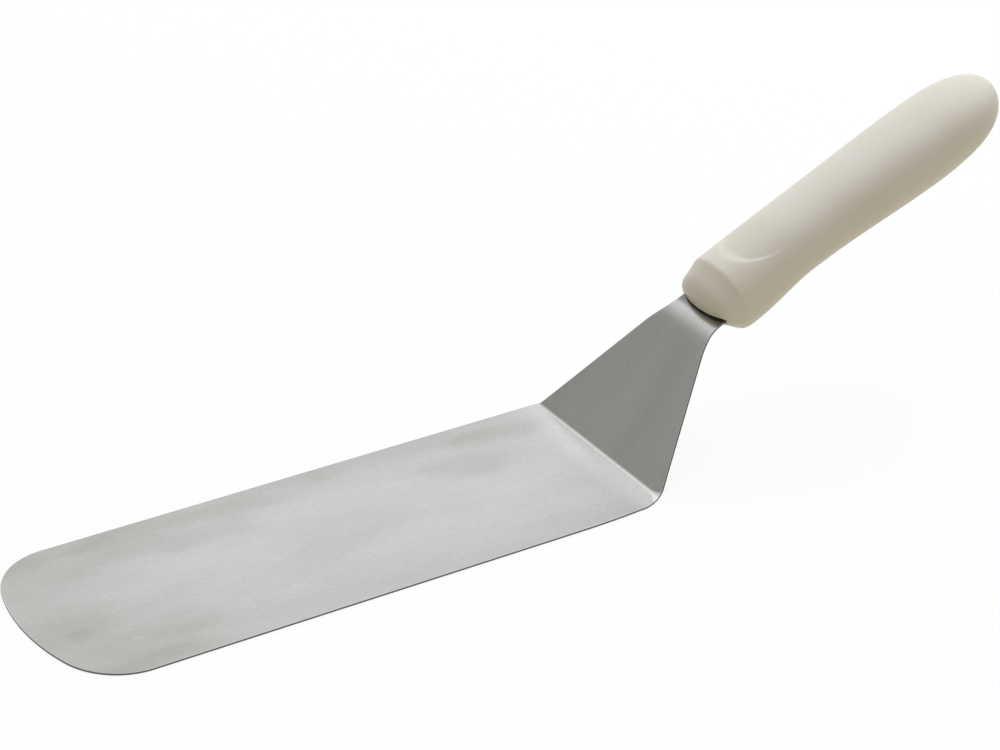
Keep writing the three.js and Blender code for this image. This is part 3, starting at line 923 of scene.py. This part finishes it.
    def to_turner(self, points):
        """From the handle's own frame to the turner's"""
        slope = self.blank.sizes.handle_angle
        origin = self.blank.bend(*(np.array([v]) for v in (self.blank.lip, 0.0, 0.0)))[0]
        back = np.array([math.cos(slope), 0.0, math.sin(slope)])
        up = np.array([-math.sin(slope), 0.0, math.cos(slope)])
        across = np.array([0.0, 1.0, 0.0])
        return origin + points[..., :1] * back + points[..., 1:2] * across + points[..., 2:] * up


# Operators


class TURNER_OT_make_blade(bpy.types.Operator):
    """Make the bent steel sheet"""

    bl_idname = "turner.make_blade"
    bl_label = "Make Blade"

    def execute(self, context):
        blank = Blank(context.scene.turner_sheet)
        inset, height, sheared = blank.edge_profile()
        near, far = (blank.loops(side, inset) for side in (blank.near, blank.far))
        loop, share_across = blank.section(inset.size - 1)
        outline = np.where(share_across[:, None, None] < 0, near[loop], far[loop])
        along = outline[..., 0]
        across = outline[..., 1] * share_across[:, None]
        points = blank.bend(along, across, np.broadcast_to(height[loop, None], along.shape))
        numbers = np.arange(along.size).reshape(along.shape)
        faces = quads(np.concatenate([numbers, numbers[:1]]))
        flat = np.stack([along, across, np.zeros(along.shape)], axis=-1)
        attributes = {
            "blank": ("FLOAT_VECTOR", "vector", flat),
            "cut_edge": ("FLOAT", "value", np.broadcast_to(sheared[loop, None], along.shape)),
        }
        steel = brushed_steel(context.scene.turner_finish, blank)
        blade = make_piece("turner_blade", points, faces, attributes, steel)
        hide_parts("blade")
        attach(blade, "root")
        return {"FINISHED"}


class TURNER_OT_make_handle(bpy.types.Operator):
    """Make the moulded handle"""

    bl_idname = "turner.make_handle"
    bl_label = "Make Handle"

    def execute(self, context):
        grip = Grip(context.scene.turner_grip, Blank(context.scene.turner_sheet))
        rings = grip.rings()
        numbers = np.arange(rings.shape[0] * rings.shape[1]).reshape(rings.shape[:2])
        faces = quads(np.concatenate([numbers, numbers[:, :1]], axis=1))
        faces.append(numbers[0].tolist())
        ivory = moulded_ivory(context.scene.turner_finish)
        handle = make_piece("turner_handle", grip.to_turner(rings), faces, {}, ivory)
        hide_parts("handle")
        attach(handle, "root")
        return {"FINISHED"}


class TURNER_OT_make_stage(bpy.types.Operator):
    """Make the camera, the pale floor and the soft light"""

    bl_idname = "turner.make_stage"
    bl_label = "Make Stage"

    SENSOR_WIDTH = 36.0  # millimetres

    def execute(self, context):
        scene, stage = context.scene, context.scene.turner_stage
        self.add_camera(scene, stage)
        self.add_floor(scene, stage)
        self.add_key(scene, stage)
        scene.world = studio_world(stage)
        scene.view_settings.view_transform = "Standard"
        return {"FINISHED"}

    def add_camera(self, scene, stage):
        camera = bpy.data.objects.new("camera", bpy.data.cameras.new("camera"))
        camera.data.sensor_width = self.SENSOR_WIDTH
        camera.data.lens = stage.lens
        back = towards_camera(stage)
        right = Vector((math.cos(stage.azimuth), math.sin(stage.azimuth), 0.0))
        axes = Matrix((right, back.cross(right), back)).transposed().to_4x4()
        place = Matrix.Translation(Vector(stage.target) + back * stage.distance)
        camera.matrix_world = place @ axes @ Matrix.Rotation(stage.roll, 4, "Z")
        scene.collection.objects.link(camera)
        scene.camera = camera

    def add_floor(self, scene, stage):
        mesh = bpy.data.meshes.new("floor")
        sheet = bmesh.new()
        bmesh.ops.create_grid(sheet, x_segments=1, y_segments=1, size=stage.floor_size / 2)
        sheet.to_mesh(mesh)
        sheet.free()
        mesh.materials.append(white_floor(stage))
        floor = bpy.data.objects.new("floor", mesh)
        floor.location.z = -stage.floor_drop
        scene.collection.objects.link(floor)

    def add_key(self, scene, stage):
        light = bpy.data.lights.new("key", "AREA")
        light.shape = "DISK"
        light.size = stage.key_size
        light.energy = stage.key_power
        light.color = stage.key_colour
        key = bpy.data.objects.new("key", light)
        key.location = stage.key_place
        key.visible_glossy = False
        facing = Vector(stage.key_aim) - key.location
        key.rotation_euler = facing.to_track_quat("-Z", "Y").to_euler()
        scene.collection.objects.link(key)


class TURNER_PT_turner(bpy.types.Panel):
    """Buttons that make the turner and its stage"""

    bl_idname = "TURNER_PT_turner"
    bl_label = "Turner"
    bl_space_type = "VIEW_3D"
    bl_region_type = "UI"
    bl_category = "Turner"

    def draw(self, context):
        for operator in OPERATORS:
            self.layout.operator(operator.bl_idname)


GROUPS = {
    "turner_sheet": TURNER_PG_sheet,
    "turner_grip": TURNER_PG_grip,
    "turner_finish": TURNER_PG_finish,
    "turner_stage": TURNER_PG_stage,
}
OPERATORS = (TURNER_OT_make_blade, TURNER_OT_make_handle, TURNER_OT_make_stage)
CLASSES = (*GROUPS.values(), *OPERATORS, TURNER_PT_turner)


def register():
    for cls in CLASSES:
        bpy.utils.register_class(cls)
    for name, group in GROUPS.items():
        setattr(bpy.types.Scene, name, bpy.props.PointerProperty(type=group))


def unregister():
    for name in GROUPS:
        delattr(bpy.types.Scene, name)
    for cls in reversed(CLASSES):
        bpy.utils.unregister_class(cls)


def main():
    register()
    bpy.ops.turner.make_blade()
    bpy.ops.turner.make_handle()
    bpy.ops.turner.make_stage()


if __name__ == "__main__":
    main()
